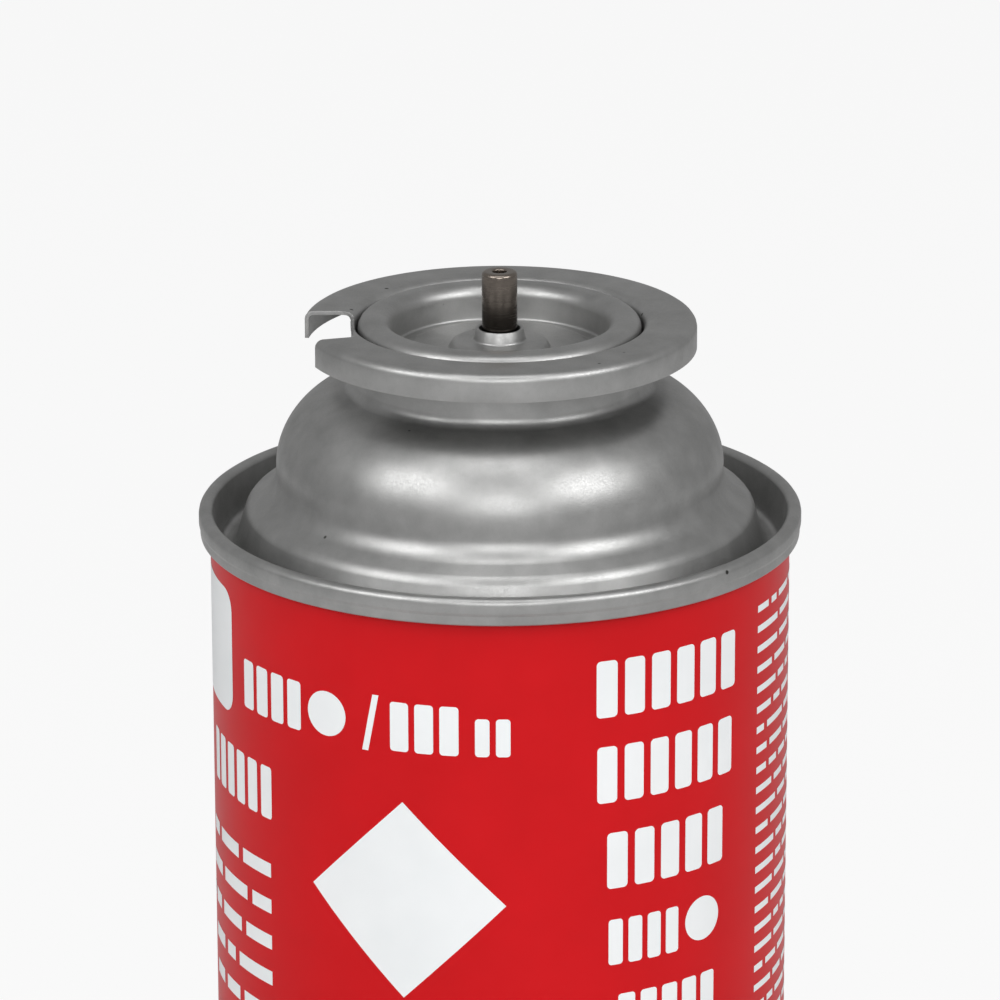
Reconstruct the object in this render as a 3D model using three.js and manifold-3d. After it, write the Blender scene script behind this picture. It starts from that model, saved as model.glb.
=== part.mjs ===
// Gas cartridge with a bayonet collar and a spring-loaded valve, for a camping stove.
// Millimetres, +Z up. The axis of the can is the Z axis and its foot ring stands on z = 0.
import * as THREE from 'three';
import { mergeVertices } from 'three/addons/utils/BufferGeometryUtils.js';
import Module from 'manifold-3d';

const wasm = await Module();
wasm.setup();

// Can body: a tinplate tube with an end seamed on at each end
const canHeight = 158;
const bodyRadius = 32.86;
const seamStandOut = 1.29;
const seamThickness = 1.55;
const seamHeight = 3.1;
const seamNeckIn = 0.2;
const seamRound = 0.75;
const seamBandRound = 0.35;
const footSeamRound = 0.5;

// Countersink just inside each seam
const countersinkDepth = 5;
const countersinkDraft = 0.7;
const countersinkWidth = 1.7;
const countersinkRound = 0.85;
const panelRound = 0.7;

// Foot end, dished into the can
const footDishRise = 10.5;
const footCountersink = 4.4;
const footPanelStep = 0.4;

// Domed end: a shoulder at its foot, a flare, the dome itself and a short neck
const shoulderInset = 1.5;
const shoulderRise = 0.3;
const shoulderRound = 2;
const flareDepth = 3.4;
const flareRise = 2;
const flareRound = 3;
const domeRise = 9.65;
const domeRound = 8.9;
const domeSlopeDeg = 14;
const neckRound = 2.2;
const neckHeight = 3.25;

// Mouth of the can, the standard opening that the valve cup is clinched into
const mouthRadius = 12.95;
const rimWidth = 2.45;
const rimHeight = 3.85;
const rimRound = 0.9;
const ledgeWidth = 1.2;
const wellClearance = 0.3;

// Valve cup, pressed from sheet
const cupSheet = 0.4;
const cupClearance = 0.25;
const beadClearance = 0.15;
const cupGasketThickness = 0.35;
const cupFloorDepth = 3.5;
const cupChannelWidth = 1.4;
const cupChannelDepth = 0.5;
const cupChannelSlope = 1;
const cupChannelRound = 0.5;
const cupFloorRound = 0.8;
const beadSkirt = 3.7;
const beadOuterRound = 1;
const beadInnerRound = 1.3;
const pedestalRadius = 5.3;
const pedestalDraft = 0.35;
const pedestalHeight = 0.85;
const pedestalRound = 0.6;
const lipHeight = 1.4;
const lipRound = 0.4;

// Bayonet collar, pressed from sheet, with one locating notch
const collarSheet = 0.45;
const collarRadius = 22.2;
const collarRise = 4.4;
const collarSkirt = 3.15;
const collarLegGap = 0.3;
const collarFootWidth = 1;
const collarFootRound = 0.5;
const collarInnerRound = 0.95;
const collarOuterRound = 0.7;
const notchWidth = 10.4;
const notchRound = 1.3;
const notchAngleDeg = 183;
const notchLegGap = 0.05;
const cutterMargin = 1;

// Valve stem
const stemRadius = 2;
const stemStandOut = 5.5;
const stemBore = 0.8;
const stemBoreDrop = 0.2;
const stemTipRound = 0.35;
const stemBoreRound = 0.15;
const stemClearance = 0.3;
const stemShoulderRadius = 3.2;
const stemShoulderHeight = 1.1;
const stemGuideRadius = 1.4;
const stemGuideRound = 0.3;
const stemGuideEndRoom = 1;
const stemTravel = 2;
const stemPortRadius = 0.35;
const seatGap = 0.05;

// Valve housing, its gasket and its spring
const housingRadius = 4.6;
const housingWall = 1;
const housingFloor = 1.2;
const housingRound = 0.6;
const chamberRound = 0.4;
const stemGasketThickness = 0.8;
const gasketHoleGap = 0.12;
const springWire = 0.6;
const springRadius = 2.4;
const springTurns = 4.5;
const springRoom = 8.2;
const tailRadius = 1.8;
const tailBore = 0.8;
const tailLength = 4.6;
const tailRound = 0.3;

// Vapour tube, pushed over the tail and bent towards the notch
const tubeWall = 0.6;
const tubeFit = 0.12;
const tubeGrip = 3.6;
const tubeDrop = 4.5;
const tubeBendRadius = 3.2;
const tubeReach = 6.5;

// Facets
const canFacets = 52;
const cupFacets = 36;
const valveFacets = 16;
const portSides = 10;
const springSides = 6;
const springStepsPerTurn = 11;
const tubeSides = 12;
const tubeSteps = 12;
const notchCornerSteps = 4;
const dishSteps = 5;

// The most that an arc may stray from its facets, the smallest arc that counts for that, the share
// of a wall that an arc may use up, and how far a mitre may stretch
const arcTolerance = 0.12;
const smallestArc = 0.1;
const wallShare = 0.98;
const mitreLimit = 2;
const paintTolerance = 0.01;

// Finishes
const bareTin = new THREE.Color(0xa9a9a7);
const redLacquer = new THREE.Color(0xc4161c);
const darkNickel = new THREE.Color(0x564a42);
const blackRubber = new THREE.Color(0x1d1d1d);
const whiteNylon = new THREE.Color(0xe6e4dc);
const springSteel = new THREE.Color(0x8f9194);

// Radii and heights that follow from the sizes above
const radians = THREE.MathUtils.degToRad;
const seamRadius = bodyRadius + seamStandOut;
const seamInnerRadius = seamRadius - seamThickness;
const countersinkRadius = seamInnerRadius - countersinkDraft;
const panelRadius = countersinkRadius - countersinkWidth;
const shoulderRadius = panelRadius - shoulderInset;
const domeRadius = shoulderRadius - flareDepth;
const rimRadius = mouthRadius + rimWidth;
const neckRadius = rimRadius + ledgeWidth;

const shoulderTop = canHeight + shoulderRise;
const flareTop = shoulderTop + flareRise;
const domeTop = flareTop + domeRise;
const neckFoot = domeTop + (domeRadius - neckRadius) * Math.tan(radians(domeSlopeDeg));
const ledgeTop = neckFoot + neckHeight;
const rimTop = ledgeTop + rimHeight;

const collarTop = ledgeTop + collarRise;
const cupTop = rimTop + cupGasketThickness + cupSheet;
const cupFloor = cupTop - cupFloorDepth;
const pedestalTop = cupFloor + pedestalHeight;
const cupWallRadius = mouthRadius - cupClearance - cupSheet / 2;
const beadRadius = rimRadius + beadClearance + cupSheet / 2;
const collarLegRadius = beadRadius + cupSheet / 2 + collarLegGap + collarSheet / 2;

const stemTip = collarTop + stemStandOut;
const gasketTop = pedestalTop - cupSheet;
const housingTop = gasketTop - stemGasketThickness;
const shoulderSeat = housingTop - seatGap;
const springTop = shoulderSeat - stemShoulderHeight;
const springFoot = springTop - springRoom;
const stemGuideFoot = springFoot + stemTravel + stemGuideEndRoom;
const housingFoot = springFoot - housingFloor;
const tailFoot = housingFoot - tailLength;

const tubeBore = tailRadius + tubeFit;
const tubeRadius = tubeBore + tubeWall;
const tubeBendFoot = tailFoot - tubeDrop;
const wellFloor = tubeBendFoot - tubeRadius - wellClearance;

function v2(r, z) {
  return new THREE.Vector2(r, z);
}

// A path of [radius, height, rounding] corners, each rounded by an arc as far as its walls allow
function roundedPath(corners) {
  const points = [];
  corners.forEach(([r, z, rounding = 0], i) => {
    const corner = v2(r, z);
    if (rounding === 0 || i === 0 || i === corners.length - 1) {
      points.push(corner);
      return;
    }
    const before = v2(corners[i - 1][0], corners[i - 1][1]).sub(corner);
    const after = v2(corners[i + 1][0], corners[i + 1][1]).sub(corner);
    const shareBefore = (corners[i - 1][2] ?? 0) / rounding;
    const shareAfter = (corners[i + 1][2] ?? 0) / rounding;
    const roomBefore = before.length() / (1 + shareBefore);
    const roomAfter = after.length() / (1 + shareAfter);
    before.normalize();
    after.normalize();
    const halfAngle = Math.acos(THREE.MathUtils.clamp(before.dot(after), -1, 1)) / 2;
    const wanted = rounding / Math.tan(halfAngle);
    const setback = Math.min(wanted, wallShare * roomBefore, wallShare * roomAfter);
    const radius = setback * Math.tan(halfAngle);
    const turn = Math.PI - 2 * halfAngle;
    const step = 2 * Math.acos(1 - arcTolerance / Math.max(radius, smallestArc));
    const steps = Math.max(2, Math.ceil(turn / step));
    const inward = before.clone().add(after).normalize();
    const centre = corner.clone().addScaledVector(inward, radius / Math.sin(halfAngle));
    const start = corner.clone().addScaledVector(before, setback).sub(centre);
    const sense = Math.sign(before.cross(after));
    for (let k = 0; k <= steps; k += 1) {
      const spoke = start.clone().rotateAround(v2(0, 0), -sense * turn * k / steps);
      points.push(spoke.add(centre));
    }
  });
  return points;
}

// The closed outline of a sheet bent along a path: the path set off to both sides
function sheetOutline(path, thickness) {
  const offsetBy = (distance) => path.map((point, i) => {
    const into = point.clone().sub(path[Math.max(0, i - 1)]).normalize();
    const out = path[Math.min(path.length - 1, i + 1)].clone().sub(point).normalize();
    const along = into.clone().add(out).normalize();
    const edge = i === 0 ? out : into;
    const stretch = Math.min(mitreLimit, 1 / edge.dot(along));
    return point.clone().add(v2(along.y, -along.x).multiplyScalar(distance * stretch));
  });
  const outline = [...offsetBy(thickness / 2), ...offsetBy(-thickness / 2).reverse()];
  outline.push(outline[0].clone());
  return outline;
}

// A profile of radii and heights turned about the Z axis, with its faces out
function turned(profile, facets) {
  const geometry = new THREE.LatheGeometry(profile, facets);
  geometry.rotateX(Math.PI / 2);
  return geometry;
}

// Rings and bars as closed profiles
function ringProfile(innerRadius, outerRadius, bottom, top) {
  return [
    v2(innerRadius, bottom), v2(outerRadius, bottom), v2(outerRadius, top), v2(innerRadius, top),
    v2(innerRadius, bottom),
  ];
}

function closedSolid(geometry) {
  const bare = geometry.clone();
  bare.deleteAttribute('normal');
  bare.deleteAttribute('uv');
  const merged = mergeVertices(bare, 1e-5);
  const corners = merged.index.array;
  const triVerts = [];
  for (let i = 0; i < corners.length; i += 3) {
    const [a, b, c] = corners.subarray(i, i + 3);
    if (a !== b && b !== c && c !== a) {
      triVerts.push(a, b, c);
    }
  }
  return new wasm.Manifold(new wasm.Mesh({
    numProp: 3,
    vertProperties: new Float32Array(merged.attributes.position.array),
    triVerts: new Uint32Array(triVerts),
  }));
}

function cutAway(geometry, cutter) {
  const cut = closedSolid(geometry).subtract(closedSolid(cutter)).getMesh();
  const result = new THREE.BufferGeometry();
  result.setAttribute('position', new THREE.BufferAttribute(cut.vertProperties, 3));
  result.setIndex(new THREE.BufferAttribute(cut.triVerts, 1));
  return result;
}

function finish(color, roughness, metalness) {
  return new THREE.MeshStandardMaterial({ color, roughness, metalness });
}

// A piece with flat-shaded facets
function piece(name, geometry, material) {
  const faceted = geometry.index ? geometry.toNonIndexed() : geometry;
  faceted.computeVertexNormals();
  const mesh = new THREE.Mesh(faceted, material);
  mesh.name = name;
  return mesh;
}

// The can: foot dish, foot seam, wall, top seam, countersink, dome, neck, rim and valve well
function canProfile() {
  const dishDepth = footDishRise - footCountersink;
  const dishRadius = (panelRadius ** 2 + dishDepth ** 2) / (2 * dishDepth);
  const dish = [];
  for (let k = 0; k < dishSteps; k += 1) {
    const r = panelRadius * k / dishSteps;
    dish.push([r, footDishRise - dishRadius + Math.sqrt(dishRadius ** 2 - r ** 2)]);
  }
  const footWall = [
    [panelRadius, footCountersink, panelRound],
    [countersinkRadius, footCountersink + footPanelStep, countersinkRound],
    [seamInnerRadius, 0, footSeamRound],
    [seamRadius, 0, footSeamRound],
    [seamRadius - seamNeckIn, seamHeight, seamBandRound],
    [bodyRadius, seamHeight + seamNeckIn],
  ];
  const topWall = [
    [bodyRadius, canHeight - seamHeight - seamNeckIn],
    [seamRadius - seamNeckIn, canHeight - seamHeight, seamBandRound],
    [seamRadius, canHeight, seamRound],
    [seamInnerRadius, canHeight, seamRound],
    [countersinkRadius, canHeight - countersinkDepth, countersinkRound],
    [panelRadius, canHeight - countersinkDepth, panelRound],
  ];
  const dome = [
    [shoulderRadius, shoulderTop, shoulderRound],
    [domeRadius, flareTop, flareRound],
    [domeRadius, domeTop, domeRound],
    [neckRadius, neckFoot, neckRound],
    [neckRadius, ledgeTop],
  ];
  const mouth = [
    [rimRadius, ledgeTop],
    [rimRadius, rimTop, rimRound],
    [mouthRadius, rimTop, rimRound],
    [mouthRadius, wellFloor],
    [0, wellFloor],
  ];
  return roundedPath([...dish, ...footWall, ...topWall, ...dome, ...mouth]);
}

// Red lacquer on the wall between the seams, bare tinplate on the ends
function paintWall(geometry) {
  const position = geometry.attributes.position;
  const colors = new Float32Array(position.count * 3);
  for (let i = 0; i < position.count; i += 3) {
    const onWall = [0, 1, 2].every((k) => {
      const radius = Math.hypot(position.getX(i + k), position.getY(i + k));
      return Math.abs(radius - bodyRadius) < paintTolerance;
    });
    const color = onWall ? redLacquer : bareTin;
    for (let k = 0; k < 3; k += 1) {
      color.toArray(colors, (i + k) * 3);
    }
  }
  geometry.setAttribute('color', new THREE.BufferAttribute(colors, 3));
}

function makeCan() {
  const geometry = turned(canProfile(), canFacets).toNonIndexed();
  paintWall(geometry);
  const material = new THREE.MeshStandardMaterial({ vertexColors: true, roughness: 0.3, metalness: 0.7 });
  return piece('can', geometry, material);
}

// The collar: a foot under the cup's bead, a leg, a flat top and a skirt, notched on one side
function makeCollar() {
  const half = collarSheet / 2;
  const path = roundedPath([
    [collarLegRadius - collarFootWidth, ledgeTop + half],
    [collarLegRadius, ledgeTop + half, collarFootRound],
    [collarLegRadius, collarTop - half, collarInnerRound],
    [collarRadius - half, collarTop - half, collarOuterRound],
    [collarRadius - half, collarTop - collarSkirt],
  ]);
  const ring = turned(sheetOutline(path, collarSheet), canFacets);
  return piece('bayonet_collar', cutAway(ring, notchCutter()), finish(bareTin, 0.4, 0.9));
}

// A straight slot from outside, which ends square just clear of the collar's leg
function notchCutter() {
  const half = notchWidth / 2;
  const slotEnd = collarLegRadius + collarSheet / 2 + notchLegGap;
  const cornerX = slotEnd + notchRound;
  const cornerY = half - notchRound;
  const outside = collarRadius + cutterMargin;
  const slot = new THREE.Shape();
  slot.moveTo(outside, -half);
  slot.lineTo(outside, half);
  slot.lineTo(cornerX, half);
  slot.absarc(cornerX, cornerY, notchRound, Math.PI / 2, Math.PI, false);
  slot.absarc(cornerX, -cornerY, notchRound, Math.PI, 3 * Math.PI / 2, false);
  const depth = collarRise + 2 * cutterMargin;
  const cutter = new THREE.ExtrudeGeometry(slot, { depth, bevelEnabled: false, curveSegments: notchCornerSteps });
  cutter.rotateZ(radians(notchAngleDeg));
  cutter.translate(0, 0, collarTop + cutterMargin - depth);
  return cutter;
}

// The valve cup: a bead over the rim, a wall, a floor, and a pedestal with a lip round the stem
function makeValveCup() {
  const half = cupSheet / 2;
  const beadTop = cupTop - half;
  const floor = cupFloor - half;
  const channel = floor - cupChannelDepth;
  const pedestal = pedestalTop - half;
  const channelInnerRadius = cupWallRadius - cupChannelWidth;
  const lipRadius = stemRadius + stemClearance + half;
  const path = roundedPath([
    [beadRadius, cupTop - beadSkirt],
    [beadRadius, beadTop, beadOuterRound],
    [cupWallRadius, beadTop, beadInnerRound],
    [cupWallRadius, channel, cupChannelRound],
    [channelInnerRadius, channel, cupChannelRound],
    [channelInnerRadius - cupChannelSlope, floor, cupFloorRound],
    [pedestalRadius + pedestalDraft, floor, lipRound],
    [pedestalRadius - half, pedestal, pedestalRound],
    [lipRadius, pedestal, lipRound],
    [lipRadius, pedestalTop + lipHeight],
  ]);
  return piece('valve_cup', turned(sheetOutline(path, cupSheet), cupFacets), finish(bareTin, 0.35, 0.9));
}

function makeCupGasket() {
  const inner = mouthRadius + rimRound;
  const outer = rimRadius - rimRound;
  const ring = ringProfile(inner, outer, rimTop, rimTop + cupGasketThickness);
  return piece('cup_gasket', turned(ring, cupFacets), finish(blackRubber, 0.9, 0));
}

// The stem: a tube with a blind bore and a side port, on a shoulder with a guide for the spring
function makeValveStem() {
  const boreFloor = housingTop - stemBoreDrop;
  const profile = roundedPath([
    [0, stemGuideFoot],
    [stemGuideRadius, stemGuideFoot, stemGuideRound],
    [stemGuideRadius, springTop],
    [stemShoulderRadius, springTop],
    [stemShoulderRadius, shoulderSeat],
    [stemRadius, shoulderSeat],
    [stemRadius, stemTip, stemTipRound],
    [stemBore, stemTip, stemBoreRound],
    [stemBore, boreFloor],
    [0, boreFloor],
  ]);
  const port = new THREE.CylinderGeometry(stemPortRadius, stemPortRadius, stemRadius * 2, portSides);
  port.translate(0, stemRadius, 0);
  port.rotateX(Math.PI / 2);
  port.translate(0, 0, gasketTop - stemGasketThickness / 2);
  return piece('valve_stem', cutAway(turned(profile, valveFacets), port), finish(darkNickel, 0.3, 1));
}

function makeStemGasket() {
  const ring = ringProfile(stemRadius + gasketHoleGap, housingRadius, housingTop, gasketTop);
  return piece('stem_gasket', turned(ring, valveFacets), finish(blackRubber, 0.9, 0));
}

function makeValveHousing() {
  const chamber = housingRadius - housingWall;
  const profile = roundedPath([
    [tailBore, tailFoot],
    [tailRadius, tailFoot, tailRound],
    [tailRadius, housingFoot],
    [housingRadius, housingFoot, housingRound],
    [housingRadius, housingTop],
    [chamber, housingTop],
    [chamber, springFoot, chamberRound],
    [tailBore, springFoot],
    [tailBore, tailFoot],
  ]);
  return piece('valve_housing', turned(profile, valveFacets), finish(whiteNylon, 0.5, 0));
}

// A compression spring between the housing's floor and the stem's shoulder
class Coil extends THREE.Curve {
  constructor(radius, bottom, top, turns) {
    super();
    Object.assign(this, { radius, bottom, top, turns });
  }

  getPoint(t, target = new THREE.Vector3()) {
    const angle = 2 * Math.PI * this.turns * t;
    const height = THREE.MathUtils.lerp(this.bottom, this.top, t);
    return target.set(this.radius * Math.cos(angle), this.radius * Math.sin(angle), height);
  }
}

// A polygon with its corners on a circle
function roundShape(radius, sides) {
  const shape = new THREE.Shape();
  for (let k = 0; k < sides; k += 1) {
    const angle = 2 * Math.PI * k / sides;
    const draw = k === 0 ? 'moveTo' : 'lineTo';
    shape[draw](radius * Math.cos(angle), radius * Math.sin(angle));
  }
  return shape;
}

function makeValveSpring() {
  const clear = springWire / 2 + seatGap;
  const coil = new Coil(springRadius, springFoot + clear, springTop - clear, springTurns);
  const steps = Math.round(springTurns * springStepsPerTurn);
  const wire = new THREE.ExtrudeGeometry(roundShape(springWire / 2, springSides), {
    steps,
    extrudePath: coil,
    bevelEnabled: false,
  });
  return piece('valve_spring', wire, finish(springSteel, 0.35, 1));
}

// The vapour tube runs down over the tail, then bends out towards the notch
function makeVapourTube() {
  const out = new THREE.Vector3(Math.cos(radians(notchAngleDeg)), Math.sin(radians(notchAngleDeg)), 0);
  const top = new THREE.Vector3(0, 0, tailFoot + tubeGrip);
  const bendCorner = new THREE.Vector3(0, 0, tubeBendFoot);
  const bendStart = new THREE.Vector3(0, 0, tubeBendFoot + tubeBendRadius);
  const bendEnd = bendCorner.clone().addScaledVector(out, tubeBendRadius);
  const path = new THREE.CurvePath();
  path.add(new THREE.LineCurve3(top, bendStart));
  path.add(new THREE.QuadraticBezierCurve3(bendStart, bendCorner, bendEnd));
  path.add(new THREE.LineCurve3(bendEnd, bendCorner.clone().addScaledVector(out, tubeReach)));
  const section = roundShape(tubeRadius, tubeSides);
  section.holes.push(roundShape(tubeBore, tubeSides));
  const tube = new THREE.ExtrudeGeometry(section, { steps: tubeSteps, extrudePath: path, bevelEnabled: false });
  return piece('vapour_tube', tube, finish(whiteNylon, 0.4, 0));
}

const canister = new THREE.Group();
canister.add(
  makeCan(),
  makeCollar(),
  makeValveCup(),
  makeCupGasket(),
  makeValveStem(),
  makeStemGasket(),
  makeValveHousing(),
  makeValveSpring(),
  makeVapourTube(),
);

export default canister;
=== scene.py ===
import math
import random

import bmesh
import bpy
from mathutils import Matrix, Vector


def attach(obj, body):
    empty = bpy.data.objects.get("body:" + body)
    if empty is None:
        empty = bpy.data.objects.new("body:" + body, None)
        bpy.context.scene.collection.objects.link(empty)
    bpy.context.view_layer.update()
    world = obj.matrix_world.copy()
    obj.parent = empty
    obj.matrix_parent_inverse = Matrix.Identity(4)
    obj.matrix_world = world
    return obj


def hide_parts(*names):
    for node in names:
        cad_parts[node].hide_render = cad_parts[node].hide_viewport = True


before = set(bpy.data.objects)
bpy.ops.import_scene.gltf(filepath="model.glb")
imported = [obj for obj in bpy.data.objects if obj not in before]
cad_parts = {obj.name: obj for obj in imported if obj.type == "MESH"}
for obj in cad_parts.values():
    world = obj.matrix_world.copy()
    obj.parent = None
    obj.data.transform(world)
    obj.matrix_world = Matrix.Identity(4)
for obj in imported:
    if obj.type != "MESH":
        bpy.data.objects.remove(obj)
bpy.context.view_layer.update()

# Lengths in the dictionaries are millimetres, and Blender's are metres
mm = 0.001
scene = bpy.context.scene

# The can itself; heights are above the table, seamTop is the top edge of the upper seam
can = {
    "seamTop": 158.0,
    "wallRadius": 32.86,
    "seamRadius": 34.15,
    "seamThickness": 1.55,
    "seamHeight": 3.1,
    "seamStep": 0.16,
    "countersinkDepth": 5.0,
    "countersinkRadius": 31.9,
    "panelRadius": 30.2,
    "sheet": 0.24,
    "wallTuck": 1.24,     # how far the tube's ends reach up into the two seams
    "steps": 200,
}

# Rounded corners are cut finer where they reach further; an angle past crease shows as an edge
rounding = {"perMillimetre": 5, "fewest": 4, "most": 26}
edges = {"crease": 35, "cutAngle": 50, "cutSegments": 2}
mergeDistance = 1e-7


def setback(radius, before, corner, after):
    # How far from its corner a rounding of this radius starts
    a = (Vector(before) - Vector(corner)).normalized()
    b = (Vector(after) - Vector(corner)).normalized()
    half = math.acos(max(-1.0, min(1.0, a.dot(b)))) / 2
    return radius / math.tan(half)


def drawProfile(bm, corners, closed=False):
    # corners are (radius, height, radius of the rounding) in mm, and a bevel rounds each one off
    verts = [bm.verts.new((r * mm, 0, z * mm)) for r, z, soft in corners]
    count = len(verts)
    for i in range(count if closed else count - 1):
        bm.edges.new((verts[i], verts[(i + 1) % count]))
    flat = [(r, z) for r, z, soft in corners]
    for i, (r, z, soft) in enumerate(corners):
        if soft == 0:
            continue
        offset = setback(soft, flat[i - 1], flat[i], flat[(i + 1) % count])
        segments = round(offset * rounding["perMillimetre"])
        segments = max(rounding["fewest"], min(rounding["most"], segments))
        bmesh.ops.bevel(bm, geom=[verts[i]], offset=offset * mm, offset_type="OFFSET",
                        affect="VERTICES", segments=segments, profile=0.5, material=-1,
                        clamp_overlap=False)


def spinProfile(corners, steps, closed=False):
    # A solid or a skin of revolution about the can's axis
    bm = bmesh.new()
    drawProfile(bm, corners, closed)
    bmesh.ops.spin(bm, geom=bm.verts[:] + bm.edges[:], cent=(0, 0, 0), axis=(0, 0, 1),
                   angle=2 * math.pi, steps=steps, use_merge=True)
    bmesh.ops.remove_doubles(bm, verts=bm.verts[:], dist=mergeDistance)
    bmesh.ops.recalc_face_normals(bm, faces=bm.faces[:])
    return bm


def finishPiece(bm, name, material, body, replaced=()):
    mesh = bpy.data.meshes.new(name)
    bm.to_mesh(mesh)
    bm.free()
    mesh.shade_smooth()
    mesh.set_sharp_from_angle(angle=math.radians(edges["crease"]))
    mesh.materials.append(material)
    piece = bpy.data.objects.new(name, mesh)
    scene.collection.objects.link(piece)
    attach(piece, body)
    if replaced:
        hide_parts(*replaced)
    return piece


def addSheet(piece, thickness, offset=0.0, edge=0.0):
    # Gives a skin the thickness of its sheet, and breaks the cut edges
    wall = piece.modifiers.new("sheet", "SOLIDIFY")
    wall.thickness = thickness * mm
    wall.offset = offset
    wall.use_even_offset = True
    if edge:
        soften = piece.modifiers.new("edge", "BEVEL")
        soften.width = edge * mm
        soften.segments = edges["cutSegments"]
        soften.limit_method = "ANGLE"
        soften.angle_limit = math.radians(edges["cutAngle"])


def linear(red, green, blue):
    # A colour as a screen shows it, 0 to 255, as the shader wants it
    def one(c):
        c = c / 255
        return c / 12.92 if c < 0.04045 else ((c + 0.055) / 1.055) ** 2.4
    return (one(red), one(green), one(blue), 1)


def startMaterial(name):
    material = bpy.data.materials.new(name)
    material.use_nodes = True
    nodes = material.node_tree.nodes
    return material, nodes, material.node_tree.links, nodes["Principled BSDF"]


def addNoise(nodes, links, scale, detail=3.0, roughness=0.6, stretch=None):
    place = nodes.new("ShaderNodeTexCoord")
    noise = nodes.new("ShaderNodeTexNoise")
    noise.inputs["Scale"].default_value = scale
    noise.inputs["Detail"].default_value = detail
    noise.inputs["Roughness"].default_value = roughness
    if stretch:
        mapping = nodes.new("ShaderNodeMapping")
        mapping.inputs["Scale"].default_value = stretch
        links.new(place.outputs["Object"], mapping.inputs["Vector"])
        links.new(mapping.outputs["Vector"], noise.inputs["Vector"])
    else:
        links.new(place.outputs["Object"], noise.inputs["Vector"])
    return noise.outputs["Fac"]


def addRamp(nodes, links, source, low, high, start=0.3, end=0.7):
    ramp = nodes.new("ShaderNodeValToRGB")
    ramp.color_ramp.elements[0].position = start
    ramp.color_ramp.elements[1].position = end
    ramp.color_ramp.elements[0].color = low
    ramp.color_ramp.elements[1].color = high
    links.new(source, ramp.inputs["Fac"])
    return ramp.outputs["Color"]


def grey(value):
    return (value, value, value, 1)


def addBump(nodes, links, source, shader, strength, distance):
    bump = nodes.new("ShaderNodeBump")
    bump.inputs["Strength"].default_value = strength
    bump.inputs["Distance"].default_value = distance * mm
    links.new(source, bump.inputs["Height"])
    links.new(bump.outputs["Normal"], shader.inputs["Normal"])


tin = {
    "dark": linear(164, 164, 163),
    "light": linear(182, 182, 181),
    "nick": linear(70, 70, 68),
    "nickSpacing": 190,
    "nickCore": 0.035,
    "nickEdge": 0.056,
    "roughLow": 0.34,
    "roughHigh": 0.5,
    "grain": 5200,
    "grainDetail": 2.0,
    "mottle": 260,
    "mottleDetail": 4.0,
    "bump": 0.5,
    "bumpDepth": 0.008,
}


def addNicks(nodes, links, color):
    # A sparse scatter of small dark nicks, a few millimetres apart
    place = nodes.new("ShaderNodeTexCoord")
    cells = nodes.new("ShaderNodeTexVoronoi")
    cells.inputs["Scale"].default_value = tin["nickSpacing"]
    links.new(place.outputs["Object"], cells.inputs["Vector"])
    spot = addRamp(nodes, links, cells.outputs["Distance"], grey(1), grey(0),
                   tin["nickCore"], tin["nickEdge"])
    mix = nodes.new("ShaderNodeMix")
    mix.data_type = "RGBA"
    links.new(spot, mix.inputs["Factor"])
    links.new(color, mix.inputs["A"])
    mix.inputs["B"].default_value = tin["nick"]
    return mix.outputs["Result"]


def makeTinplate(name):
    # Satin tinplate: a fine grain in the gloss, a soft mottle in the colour and a few nicks
    material, nodes, links, shader = startMaterial(name)
    shader.inputs["Metallic"].default_value = 1.0
    grain = addNoise(nodes, links, tin["grain"], tin["grainDetail"])
    mottle = addNoise(nodes, links, tin["mottle"], tin["mottleDetail"])
    color = addRamp(nodes, links, mottle, tin["dark"], tin["light"])
    links.new(addNicks(nodes, links, color), shader.inputs["Base Color"])
    rough = addRamp(nodes, links, grain, grey(tin["roughLow"]), grey(tin["roughHigh"]))
    links.new(rough, shader.inputs["Roughness"])
    addBump(nodes, links, grain, shader, tin["bump"], tin["bumpDepth"])
    return material


lacquer = {
    "red": linear(208, 14, 23),
    "redDeep": linear(199, 11, 19),
    "white": linear(246, 248, 249),
    "whiteDeep": linear(238, 241, 242),
    "roughness": 0.35,
    "specular": 0.12,
    "coat": 0.1,
    "coatRoughness": 0.15,
    "tone": 60,
    "peel": 900,
    "peelDetail": 2.0,
    "peelBump": 0.12,
    "peelDepth": 0.01,
}


def makeLacquer(name, low, high):
    # Printed ink under clear varnish, with the faint orange peel of a stoved coat
    material, nodes, links, shader = startMaterial(name)
    shader.inputs["Roughness"].default_value = lacquer["roughness"]
    shader.inputs["Specular IOR Level"].default_value = lacquer["specular"]
    shader.inputs["Coat Weight"].default_value = lacquer["coat"]
    shader.inputs["Coat Roughness"].default_value = lacquer["coatRoughness"]
    tone = addNoise(nodes, links, lacquer["tone"])
    links.new(addRamp(nodes, links, tone, low, high), shader.inputs["Base Color"])
    peel = addNoise(nodes, links, lacquer["peel"], lacquer["peelDetail"])
    addBump(nodes, links, peel, shader, lacquer["peelBump"], lacquer["peelDepth"])
    return material


nickel = {
    "low": linear(66, 62, 58),
    "high": linear(136, 127, 119),
    "lowAt": 178.6,
    "highAt": 184.4,
    "rings": 900,
    "ringDetail": 3.0,
    "ringRoughness": 0.7,
    "ringStretch": (0.15, 0.15, 4.0),
    "roughLow": 0.14,
    "roughHigh": 0.34,
    "bump": 0.25,
    "bumpDepth": 0.006,
}


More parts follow.
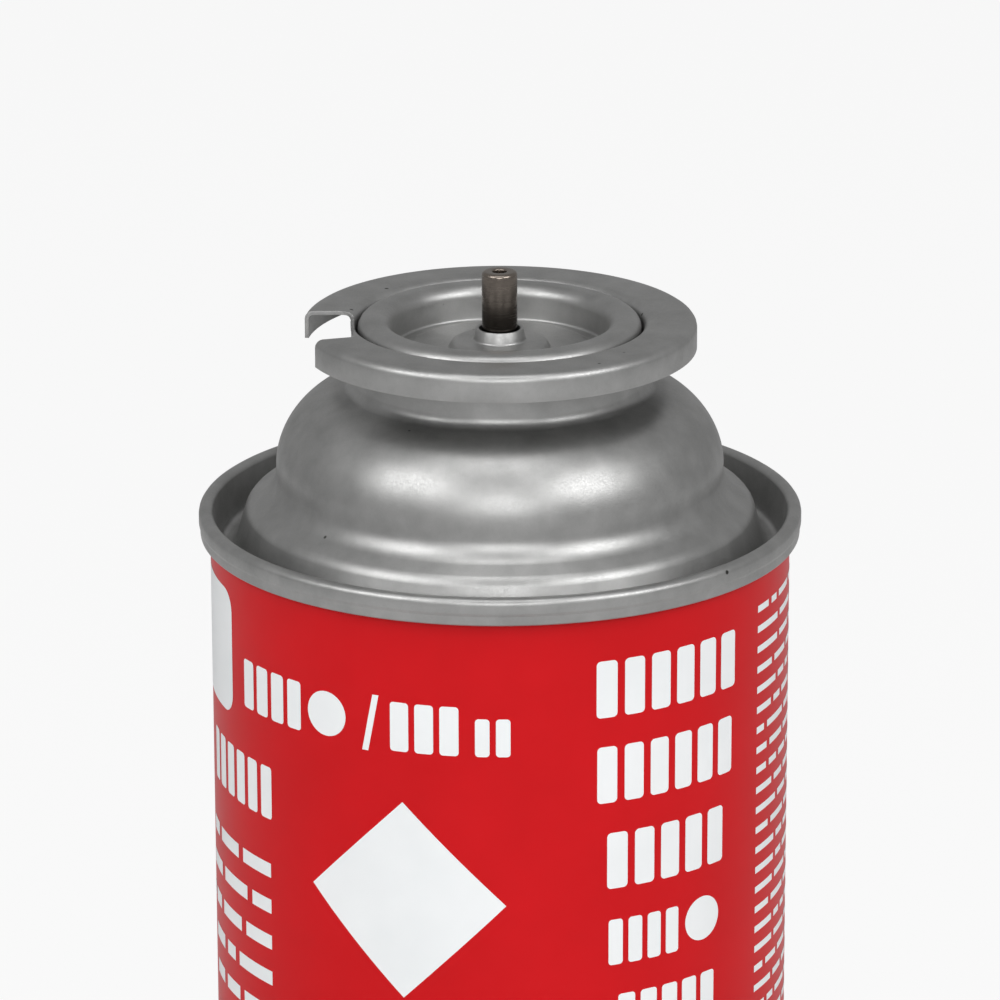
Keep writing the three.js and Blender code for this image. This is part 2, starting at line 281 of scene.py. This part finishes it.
def makeDarkNickel():
    # The stem's dark plating, paler towards the tip, with fine drawn rings
    material, nodes, links, shader = startMaterial("darkNickel")
    shader.inputs["Metallic"].default_value = 1.0
    place = nodes.new("ShaderNodeTexCoord")
    split = nodes.new("ShaderNodeSeparateXYZ")
    rise = nodes.new("ShaderNodeMapRange")
    rise.inputs["From Min"].default_value = nickel["lowAt"] * mm
    rise.inputs["From Max"].default_value = nickel["highAt"] * mm
    links.new(place.outputs["Object"], split.inputs[0])
    links.new(split.outputs["Z"], rise.inputs["Value"])
    color = addRamp(nodes, links, rise.outputs["Result"], nickel["low"], nickel["high"], 0, 1)
    links.new(color, shader.inputs["Base Color"])
    rings = addNoise(nodes, links, nickel["rings"], nickel["ringDetail"], nickel["ringRoughness"],
                     nickel["ringStretch"])
    rough = addRamp(nodes, links, rings, grey(nickel["roughLow"]), grey(nickel["roughHigh"]))
    links.new(rough, shader.inputs["Roughness"])
    addBump(nodes, links, rings, shader, nickel["bump"], nickel["bumpDepth"])
    return material


plain = {"shade": 0.85, "bump": 0.2, "bumpDepth": 0.01}


def makePlain(look):
    # Gaskets, nylon and spring wire: one colour with a fine moulded or drawn grain
    material, nodes, links, shader = startMaterial(look["finish"])
    shader.inputs["Metallic"].default_value = look["metallic"]
    shader.inputs["Roughness"].default_value = look["roughness"]
    darker = [c * plain["shade"] for c in look["color"][:3]] + [1]
    tone = addNoise(nodes, links, look["grain"])
    links.new(addRamp(nodes, links, tone, darker, look["color"]), shader.inputs["Base Color"])
    addBump(nodes, links, tone, shader, plain["bump"], plain["bumpDepth"])
    return material


tinplate = makeTinplate("satinTinplate")
redInk = makeLacquer("redLacquer", lacquer["redDeep"], lacquer["red"])
whiteInk = makeLacquer("whiteInk", lacquer["whiteDeep"], lacquer["white"])
darkNickel = makeDarkNickel()
print("materials made")

# The camera of the photograph: it looks at the axis, a little above the seam
camera = {
    "elevation": 18.08,
    "distance": 717.0,
    "focal": 6323.0,
    "framePixels": 1000,
    "aimAboveSeam": 0.28,
    "roll": -0.12,
    "sensor": 36.0,
    "clipStart": 0.05,
    "clipEnd": 20,
}


def addCamera():
    data = bpy.data.cameras.new("camera")
    data.sensor_width = camera["sensor"]
    data.lens = camera["focal"] / camera["framePixels"] * camera["sensor"]
    data.clip_start = camera["clipStart"]
    data.clip_end = camera["clipEnd"]
    eye = bpy.data.objects.new("camera", data)
    scene.collection.objects.link(eye)
    tilt = math.radians(camera["elevation"])
    aim = Vector((0, 0, (can["seamTop"] + camera["aimAboveSeam"]) * mm))
    back = Vector((0, -math.cos(tilt), math.sin(tilt)))
    turn = (-back).to_track_quat("-Z", "Y").to_matrix().to_4x4()
    roll = Matrix.Rotation(math.radians(camera["roll"]), 4, "Z")
    eye.matrix_world = Matrix.Translation(aim + back * camera["distance"] * mm) @ turn @ roll
    scene.camera = eye


addCamera()


def makeWall():
    # The printed tube: a thin ring section whose ends are hidden in the two seams
    outside = can["wallRadius"]
    inside = outside - can["sheet"]
    low = can["wallTuck"]
    high = can["seamTop"] - low
    corners = [(outside, low, 0), (outside, high, 0), (inside, high, 0), (inside, low, 0)]
    bm = spinProfile(corners, can["steps"], closed=True)
    return finishPiece(bm, "canWall", redInk, "cartridge", ["can"])


dome = {
    "shoulderRadius": 28.7,
    "shoulderTop": 158.3,
    "shoulderRound": 2.0,
    "domeRadius": 25.3,
    "flareTop": 160.3,
    "flareRound": 3.0,
    "cornerHeight": 169.95,
    "domeRound": 8.9,
    "neckRadius": 16.6,
    "neckCorner": 172.12,
    "neckRound": 1.4,
    "ledge": 175.37,
    "rimRadius": 15.4,
    "rimTop": 179.22,
    "mouthRadius": 12.95,
    "mouthDepth": 9.0,
    "countersinkRound": 0.85,
    "panelRound": 0.7,
    "ledgeRound": 0.12,
    "rimRound": 0.9,
}

# Both seams in section: a band against the wall, a small step, and the rolled edge
seam = {
    "clear": 0.05,
    "drop": 0.1,
    "bandRound": 0.3,
    "stepFoot": 2.0,
    "stepTop": 1.65,
    "stepRound": 0.25,
    "outerRound": 0.75,
    "innerRound": 0.7,
}


def seamCorners(edge, away):
    # A double seam from the wall outwards, over its rolled edge, and down inside
    outer = can["seamRadius"]
    inner = outer - can["seamThickness"]
    foot = edge - away * can["seamHeight"]
    band = outer - can["seamStep"]
    return [
        (can["wallRadius"] + seam["clear"], foot - away * seam["drop"], 0),
        (band, foot, seam["bandRound"]),
        (band, edge - away * seam["stepFoot"], seam["stepRound"]),
        (outer, edge - away * seam["stepTop"], seam["stepRound"]),
        (outer, edge, seam["outerRound"]),
        (inner, edge, seam["innerRound"]),
    ]


def makeDome():
    floor = can["seamTop"] - can["countersinkDepth"]
    corners = seamCorners(can["seamTop"], 1) + [
        (can["countersinkRadius"], floor, dome["countersinkRound"]),
        (can["panelRadius"], floor, dome["panelRound"]),
        (dome["shoulderRadius"], dome["shoulderTop"], dome["shoulderRound"]),
        (dome["domeRadius"], dome["flareTop"], dome["flareRound"]),
        (dome["domeRadius"], dome["cornerHeight"], dome["domeRound"]),
        (dome["neckRadius"], dome["neckCorner"], dome["neckRound"]),
        (dome["neckRadius"], dome["ledge"], dome["ledgeRound"]),
        (dome["rimRadius"], dome["ledge"], dome["ledgeRound"]),
        (dome["rimRadius"], dome["rimTop"], dome["rimRound"]),
        (dome["mouthRadius"], dome["rimTop"], dome["rimRound"]),
        (dome["mouthRadius"], dome["rimTop"] - dome["mouthDepth"], 0),
    ]
    bm = spinProfile(corners, can["steps"])
    piece = finishPiece(bm, "domedEnd", tinplate, "cartridge", ["can"])
    addSheet(piece, can["sheet"], -1.0)
    return piece


# The foot's panel is a shallow dish, drawn as a sphere through a few stations
foot = {
    "countersink": 4.4,
    "countersinkDrop": 0.4,
    "round": 0.6,
    "dishRise": 10.5,
    "dishStations": 9,
}


def makeFoot():
    panel = can["panelRadius"]
    rise = foot["dishRise"] - foot["countersink"]
    sphere = (panel ** 2 + rise ** 2) / (2 * rise)
    corners = seamCorners(0.0, -1) + [
        (can["countersinkRadius"], foot["countersink"] + foot["countersinkDrop"], foot["round"]),
        (panel, foot["countersink"], foot["round"]),
    ]
    for k in range(1, foot["dishStations"] + 1):
        r = panel * (1 - k / foot["dishStations"])
        corners.append((r, foot["dishRise"] - sphere + math.sqrt(sphere ** 2 - r ** 2), 0))
    bm = spinProfile(corners, can["steps"])
    piece = finishPiece(bm, "footEnd", tinplate, "cartridge", ["can"])
    addSheet(piece, can["sheet"], -1.0)
    return piece


makeWall()
makeDome()
makeFoot()
print("can made")

collar = {
    "sheet": 0.45,
    "legRadius": 16.475,
    "footRadius": 15.475,
    "outerRadius": 22.2,
    "top": 179.77,
    "foot": 175.37,
    "skirt": 3.15,
    "footRound": 0.5,
    "innerRound": 0.95,
    "outerRound": 0.7,
    "cutEdge": 0.07,
    "notchEnd": (2, -16.55),       # each side: its direction in degrees, and how far along it
    "notchBack": (90, 2.95),
    "notchFront": (285.7, 2.55),
    "notchRound": 1.4,
    "notchRoundCuts": 6,
    "steps": 240,
}


def facing(degrees):
    return Vector((math.cos(math.radians(degrees)), math.sin(math.radians(degrees)), 0))


def notchPlanes():
    # The notch as outward directions and distances: its end, its two sides and one rounded corner
    endAngle, endReach = collar["notchEnd"]
    backAngle, backReach = collar["notchBack"]
    frontAngle, frontReach = collar["notchFront"]
    planes = [
        (facing(endAngle), endReach),
        (facing(backAngle), backReach),
        (facing(frontAngle), frontReach),
    ]
    r = collar["notchRound"]
    sides = Matrix((facing(endAngle).xy, facing(backAngle).xy))
    middle = sides.inverted() @ Vector((endReach - r, backReach - r))
    cuts = collar["notchRoundCuts"]
    for k in range(1, cuts):
        normal = facing(endAngle + (backAngle - endAngle) * k / cuts)
        planes.append((normal, middle.dot(normal.xy) + r))
    return planes


def makeCollar():
    half = collar["sheet"] / 2
    corners = [
        (collar["footRadius"], collar["foot"] + half, 0),
        (collar["legRadius"], collar["foot"] + half, collar["footRound"]),
        (collar["legRadius"], collar["top"] - half, collar["innerRound"]),
        (collar["outerRadius"] - half, collar["top"] - half, collar["outerRound"]),
        (collar["outerRadius"] - half, collar["top"] - collar["skirt"], 0),
    ]
    bm = spinProfile(corners, collar["steps"])
    planes = notchPlanes()
    for normal, reach in planes:
        # Only the half of the ring that has the notch is cut
        faces = [f for f in bm.faces if f.calc_center_median().x < 0]
        lines = [e for e in bm.edges if e.verts[0].co.x < mm]
        bmesh.ops.bisect_plane(bm, geom=faces + lines + bm.verts[:], plane_no=normal,
                               plane_co=normal * reach * mm, dist=mergeDistance)
    notch = []
    for f in bm.faces:
        centre = f.calc_center_median()
        if all(centre.dot(normal) < reach * mm for normal, reach in planes):
            notch.append(f)
    bmesh.ops.delete(bm, geom=notch, context="FACES")
    piece = finishPiece(bm, "bayonetCollar", tinplate, "cartridge", ["bayonet_collar"])
    addSheet(piece, collar["sheet"], edge=collar["cutEdge"])
    return piece


cup = {
    "sheet": 0.4,
    "beadRadius": 15.75,
    "beadFoot": 176.27,
    "top": 179.97,
    "wallRadius": 12.5,
    "floor": 176.47,
    "channelDepth": 0.5,
    "channelWidth": 1.4,
    "channelSlope": 1.0,
    "beadOuterRound": 1.0,
    "beadInnerRound": 1.3,
    "channelRound": 0.5,
    "floorRound": 0.8,
    "pedestalFootRound": 0.4,
    "pedestalRound": 0.6,
    "lipRound": 0.45,
    "cutEdge": 0.08,
    "pedestalRadius": 5.3,
    "pedestalDraft": 0.35,
    "pedestalTop": 177.32,
    "lipRadius": 2.5,
    "lipFlare": 0.3,
    "lipHeight": 1.4,
    "steps": 200,
}


def makeValveCup():
    half = cup["sheet"] / 2
    floor = cup["floor"] - half
    channel = floor - cup["channelDepth"]
    channelInner = cup["wallRadius"] - cup["channelWidth"]
    corners = [
        (cup["beadRadius"], cup["beadFoot"], 0),
        (cup["beadRadius"], cup["top"] - half, cup["beadOuterRound"]),
        (cup["wallRadius"], cup["top"] - half, cup["beadInnerRound"]),
        (cup["wallRadius"], channel, cup["channelRound"]),
        (channelInner, channel, cup["channelRound"]),
        (channelInner - cup["channelSlope"], floor, cup["floorRound"]),
        (cup["pedestalRadius"] + cup["pedestalDraft"], floor, cup["pedestalFootRound"]),
        (cup["pedestalRadius"] - half, cup["pedestalTop"] - half, cup["pedestalRound"]),
        (cup["lipRadius"] + cup["lipFlare"], cup["pedestalTop"] - half, cup["lipRound"]),
        (cup["lipRadius"], cup["pedestalTop"] + cup["lipHeight"], 0),
    ]
    bm = spinProfile(corners, cup["steps"])
    piece = finishPiece(bm, "valveCup", tinplate, "cartridge", ["valve_cup"])
    addSheet(piece, cup["sheet"], edge=cup["cutEdge"])
    return piece


stem = {
    "radius": 2.0,
    "tip": 185.27,
    "bore": 0.8,
    "boreFloor": 175.92,
    "shoulderTop": 176.07,
    "shoulderRadius": 3.2,
    "springTop": 174.97,
    "guideRadius": 1.4,
    "guideFoot": 169.77,
    "guideRound": 0.3,
    "shoulderRound": 0.1,
    "tipRound": 0.4,
    "boreRound": 0.15,
    "steps": 96,
}


def makeStem():
    corners = [
        (0, stem["guideFoot"], 0),
        (stem["guideRadius"], stem["guideFoot"], stem["guideRound"]),
        (stem["guideRadius"], stem["springTop"], 0),
        (stem["shoulderRadius"], stem["springTop"], stem["shoulderRound"]),
        (stem["shoulderRadius"], stem["shoulderTop"], stem["shoulderRound"]),
        (stem["radius"], stem["shoulderTop"], 0),
        (stem["radius"], stem["tip"], stem["tipRound"]),
        (stem["bore"], stem["tip"], stem["boreRound"]),
        (stem["bore"], stem["boreFloor"], 0),
        (0, stem["boreFloor"], 0),
    ]
    bm = spinProfile(corners, stem["steps"])
    return finishPiece(bm, "valveStem", darkNickel, "stem", ["valve_stem"])


makeCollar()
makeValveCup()
makeStem()
print("collar, cup and stem made")

# What the valve holds keeps the meshes of the solids, and only gets its finish here
rubber = {"color": linear(32, 32, 33), "roughness": 0.75, "grain": 900, "metallic": 0.0}
inside = {
    "cup_gasket": {"finish": "gasketRubber", **rubber},
    "stem_gasket": {"finish": "stemGasketRubber", **rubber},
    "valve_housing": {
        "finish": "nylon", "color": linear(226, 224, 214), "roughness": 0.45, "grain": 300,
        "metallic": 0.0,
    },
    "vapour_tube": {
        "finish": "tubeNylon", "color": linear(232, 231, 224), "roughness": 0.35, "grain": 300,
        "metallic": 0.0,
    },
    "valve_spring": {
        "finish": "springWire", "color": linear(168, 170, 172), "roughness": 0.3, "grain": 1500,
        "metallic": 1.0,
    },
}
for node, look in inside.items():
    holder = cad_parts[node]
    holder.data.materials.clear()
    holder.data.materials.append(makePlain(look))
print("inner pieces finished")

# The print, all of it plain blocks, bars and discs; along is arc length from the front
label = {
    "proud": 0.02,
    "slice": 1.2,
    "cornerSegments": 6,
    "discSides": 40,
    "seed": 7,
}


def wrapOnWall(bm):
    # Cuts the flat shape into narrow upright slices and bends it round the wall
    low = min(v.co.x for v in bm.verts)
    high = max(v.co.x for v in bm.verts)
    step = label["slice"] * mm
    for k in range(1, int((high - low) / step) + 1):
        bmesh.ops.bisect_plane(bm, geom=bm.verts[:] + bm.edges[:] + bm.faces[:],
                               plane_co=(low + k * step, 0, 0), plane_no=(1, 0, 0), dist=1e-8)
    radius = (can["wallRadius"] + label["proud"]) * mm
    for v in bm.verts:
        angle = v.co.x / (can["wallRadius"] * mm)
        v.co = Vector((radius * math.sin(angle), -radius * math.cos(angle), v.co.z))


def addBlock(bm, along, height, wide, tall, soft=0.0, slant=0.0):
    # An upright block whose lower left corner is at this place
    made = bmesh.ops.create_grid(bm, x_segments=1, y_segments=1, size=0.5)
    verts = made["verts"]
    for v in verts:
        x, y = v.co.x + 0.5, v.co.y + 0.5
        v.co = Vector(((along + wide * x + slant * y) * mm, 0, (height + tall * y) * mm))
    if soft:
        bmesh.ops.bevel(bm, geom=verts, offset=soft * mm, offset_type="OFFSET",
                        affect="VERTICES", segments=label["cornerSegments"], profile=0.5,
                        material=-1, clamp_overlap=False)


def addDisc(bm, along, height, radius, sides=label["discSides"]):
    made = bmesh.ops.create_circle(bm, cap_ends=True, segments=sides, radius=radius * mm)
    for v in made["verts"]:
        v.co = Vector((along * mm + v.co.x, 0, height * mm + v.co.y))


def addRow(bm, row):
    # A row of equal upright blocks between two places on the wall
    pitch = (row["end"] - row["along"] + row["gap"]) / row["count"]
    for k in range(row["count"]):
        addBlock(bm, row["along"] + k * pitch, row["height"], pitch - row["gap"], row["tall"],
                 row["round"])


def addLines(bm, lines):
    # Lines of thin bars of uneven length, flush on one side
    draw = random.Random(label["seed"] + lines["count"])
    for k in range(lines["count"]):
        height = lines["top"] - k * lines["pitch"]
        reach = lines["width"] * draw.uniform(lines["ragged"], 1)
        at = 0
        while at < reach:
            bar = min(draw.uniform(lines["shortest"], lines["longest"]), reach - at)
            start = at if lines["flushLeft"] else -at - bar
            if bar > lines["shortest"] / 2:
                addBlock(bm, lines["along"] + start, height, bar, lines["tall"])
            at += bar + lines["gap"]


def makePrint(name, draw, material):
    bm = bmesh.new()
    draw(bm)
    wrapOnWall(bm)
    bmesh.ops.recalc_face_normals(bm, faces=bm.faces[:])
    for f in bm.faces:
        centre = f.calc_center_median()
        if f.normal.dot(Vector((centre.x, centre.y, 0))) < 0:
            f.normal_flip()
    return finishPiece(bm, name, material, "cartridge")


# The blocks of a large and of a small row; a row runs from along to end
large = {"tall": 6.6, "gap": 0.9, "round": 0.5}
small = {"tall": 5.4, "gap": 0.7, "round": 0.4}

rightBlock = {
    "rows": [
        {"along": 10.7, "end": 30.0, "height": 143.2, "count": 6, **large},
        {"along": 10.8, "end": 29.5, "height": 133.2, "count": 6, **large},
        {"along": 12.0, "end": 28.0, "height": 123.0, "count": 5, **large},
        {"along": 12.2, "end": 21.2, "height": 113.9, "count": 4, **small},
        {"along": 13.4, "end": 26.7, "height": 104.9, "count": 5, **small},
    ],
    "disc": (24.8, 116.9, 2.6),                       # along, height, radius
}

leftBlock = {
    "rows": [
        {"along": -34.7, "end": -24.2, "height": 139.4, "count": 4, **small, "tall": 5.7},
        {"along": -12.4, "end": -4.6, "height": 139.4, "count": 3, **small, "tall": 5.7},
        {"along": -2.8, "end": 1.1, "height": 139.4, "count": 2, **small, "tall": 4.4},
        {"along": -45.5, "end": -29.3, "height": 127.4, "count": 6, **small, "tall": 6.2, "gap": 0.8},
    ],
    "disc": (-20.5, 142.3, 2.6),
    "slash": (-15.8, 139.0, 0.75, 6.6, 0, 1.3),       # along, height, wide, tall, round, slant
    "panel": (-53.5, 137.2, 15.6, 14.6, 2.4),         # the same, upright
    "lines": {
        "along": -29.6, "top": 120.4, "pitch": 4.35, "count": 5, "tall": 1.7, "width": 22,
        "ragged": 0.75, "shortest": 2.4, "longest": 8.0, "gap": 1.2, "flushLeft": False,
    },
}

finePrint = {
    "along": 34.9, "top": 150.2, "pitch": 2.4, "count": 23, "tall": 0.8, "width": 34,
    "ragged": 0.85, "shortest": 1.6, "longest": 6.0, "gap": 0.9, "flushLeft": True,
}

lozenge = {"along": -11.0, "height": 121.9, "half": 11.6, "sides": 4}

# The bare strip at the back, where the tube is welded
weldStrip = {"along": 103.2, "wide": 3.2, "clear": 0.1}


def drawRight(bm):
    for row in rightBlock["rows"]:
        addRow(bm, row)
    addDisc(bm, *rightBlock["disc"])


def drawLeft(bm):
    for row in leftBlock["rows"]:
        addRow(bm, row)
    addBlock(bm, *leftBlock["slash"])
    addDisc(bm, *leftBlock["disc"])
    addBlock(bm, *leftBlock["panel"])
    addLines(bm, leftBlock["lines"])


def drawFinePrint(bm):
    addLines(bm, finePrint)


def drawLozenge(bm):
    addDisc(bm, lozenge["along"], lozenge["height"], lozenge["half"], lozenge["sides"])


def drawWeld(bm):
    low = can["seamHeight"] + weldStrip["clear"]
    wide = weldStrip["wide"]
    addBlock(bm, weldStrip["along"] - wide / 2, low, wide, can["seamTop"] - 2 * low)


makePrint("printRight", drawRight, whiteInk)
makePrint("printLeft", drawLeft, whiteInk)
makePrint("printFine", drawFinePrint, whiteInk)
makePrint("printLozenge", drawLozenge, whiteInk)
makePrint("sideWeld", drawWeld, tinplate)
print("print made")

studio = {
    "floorSize": 6.0,
    "floor": linear(214, 214, 214),
    "floorRoughness": 0.9,
    "floorGlow": 0.89,        # how far the floor is lifted to white where the camera sees it
    "world": 0.35,
    "lamps": {
        "leftBox": {"azimuth": -52, "elevation": 39, "size": (0.75, 0.65), "power": 5.3},
        "rightBox": {"azimuth": 52, "elevation": 37, "size": (0.75, 0.65), "power": 6.0},
        "frontBox": {"azimuth": 0, "elevation": 23, "size": (0.7, 0.5), "power": 3.6},
        "topBox": {"azimuth": 0, "elevation": 76, "size": (0.9, 0.5), "power": 3.0},
    },
    "lampDistance": 1.3,
    "lampAim": (0, 0, 0.15),
}


def addFloor():
    bm = bmesh.new()
    bmesh.ops.create_grid(bm, x_segments=1, y_segments=1, size=studio["floorSize"] / 2)
    mesh = bpy.data.meshes.new("floor")
    bm.to_mesh(mesh)
    bm.free()
    material, nodes, links, shader = startMaterial("floor")
    shader.inputs["Base Color"].default_value = studio["floor"]
    shader.inputs["Roughness"].default_value = studio["floorRoughness"]
    shader.inputs["Specular IOR Level"].default_value = 0.0
    glow = nodes.new("ShaderNodeEmission")
    mix = nodes.new("ShaderNodeMixShader")
    path = nodes.new("ShaderNodeLightPath")
    share = nodes.new("ShaderNodeMath")
    share.operation = "MULTIPLY"
    share.inputs[1].default_value = studio["floorGlow"]
    links.new(path.outputs["Is Camera Ray"], share.inputs[0])
    links.new(share.outputs[0], mix.inputs["Fac"])
    links.new(shader.outputs[0], mix.inputs[1])
    links.new(glow.outputs[0], mix.inputs[2])
    links.new(mix.outputs[0], nodes["Material Output"].inputs["Surface"])
    mesh.materials.append(material)
    floor = bpy.data.objects.new("floor", mesh)
    scene.collection.objects.link(floor)


def addLamp(name, lamp):
    data = bpy.data.lights.new(name, "AREA")
    data.shape = "RECTANGLE"
    data.size, data.size_y = lamp["size"]
    data.energy = lamp["power"]
    piece = bpy.data.objects.new(name, data)
    scene.collection.objects.link(piece)
    azimuth = math.radians(lamp["azimuth"])
    elevation = math.radians(lamp["elevation"])
    level = math.cos(elevation)
    toLamp = Vector((math.sin(azimuth) * level, -math.cos(azimuth) * level, math.sin(elevation)))
    piece.location = Vector(studio["lampAim"]) + toLamp * studio["lampDistance"]
    piece.rotation_euler = toLamp.to_track_quat("Z", "Y").to_euler()


def lightWorld():
    world = bpy.data.worlds.new("studio")
    scene.world = world
    world.use_nodes = True
    world.node_tree.nodes["Background"].inputs["Color"].default_value = grey(studio["world"])


addFloor()
lightWorld()
for name, lamp in studio["lamps"].items():
    addLamp(name, lamp)
scene.view_settings.view_transform = "Standard"
print("studio lit")
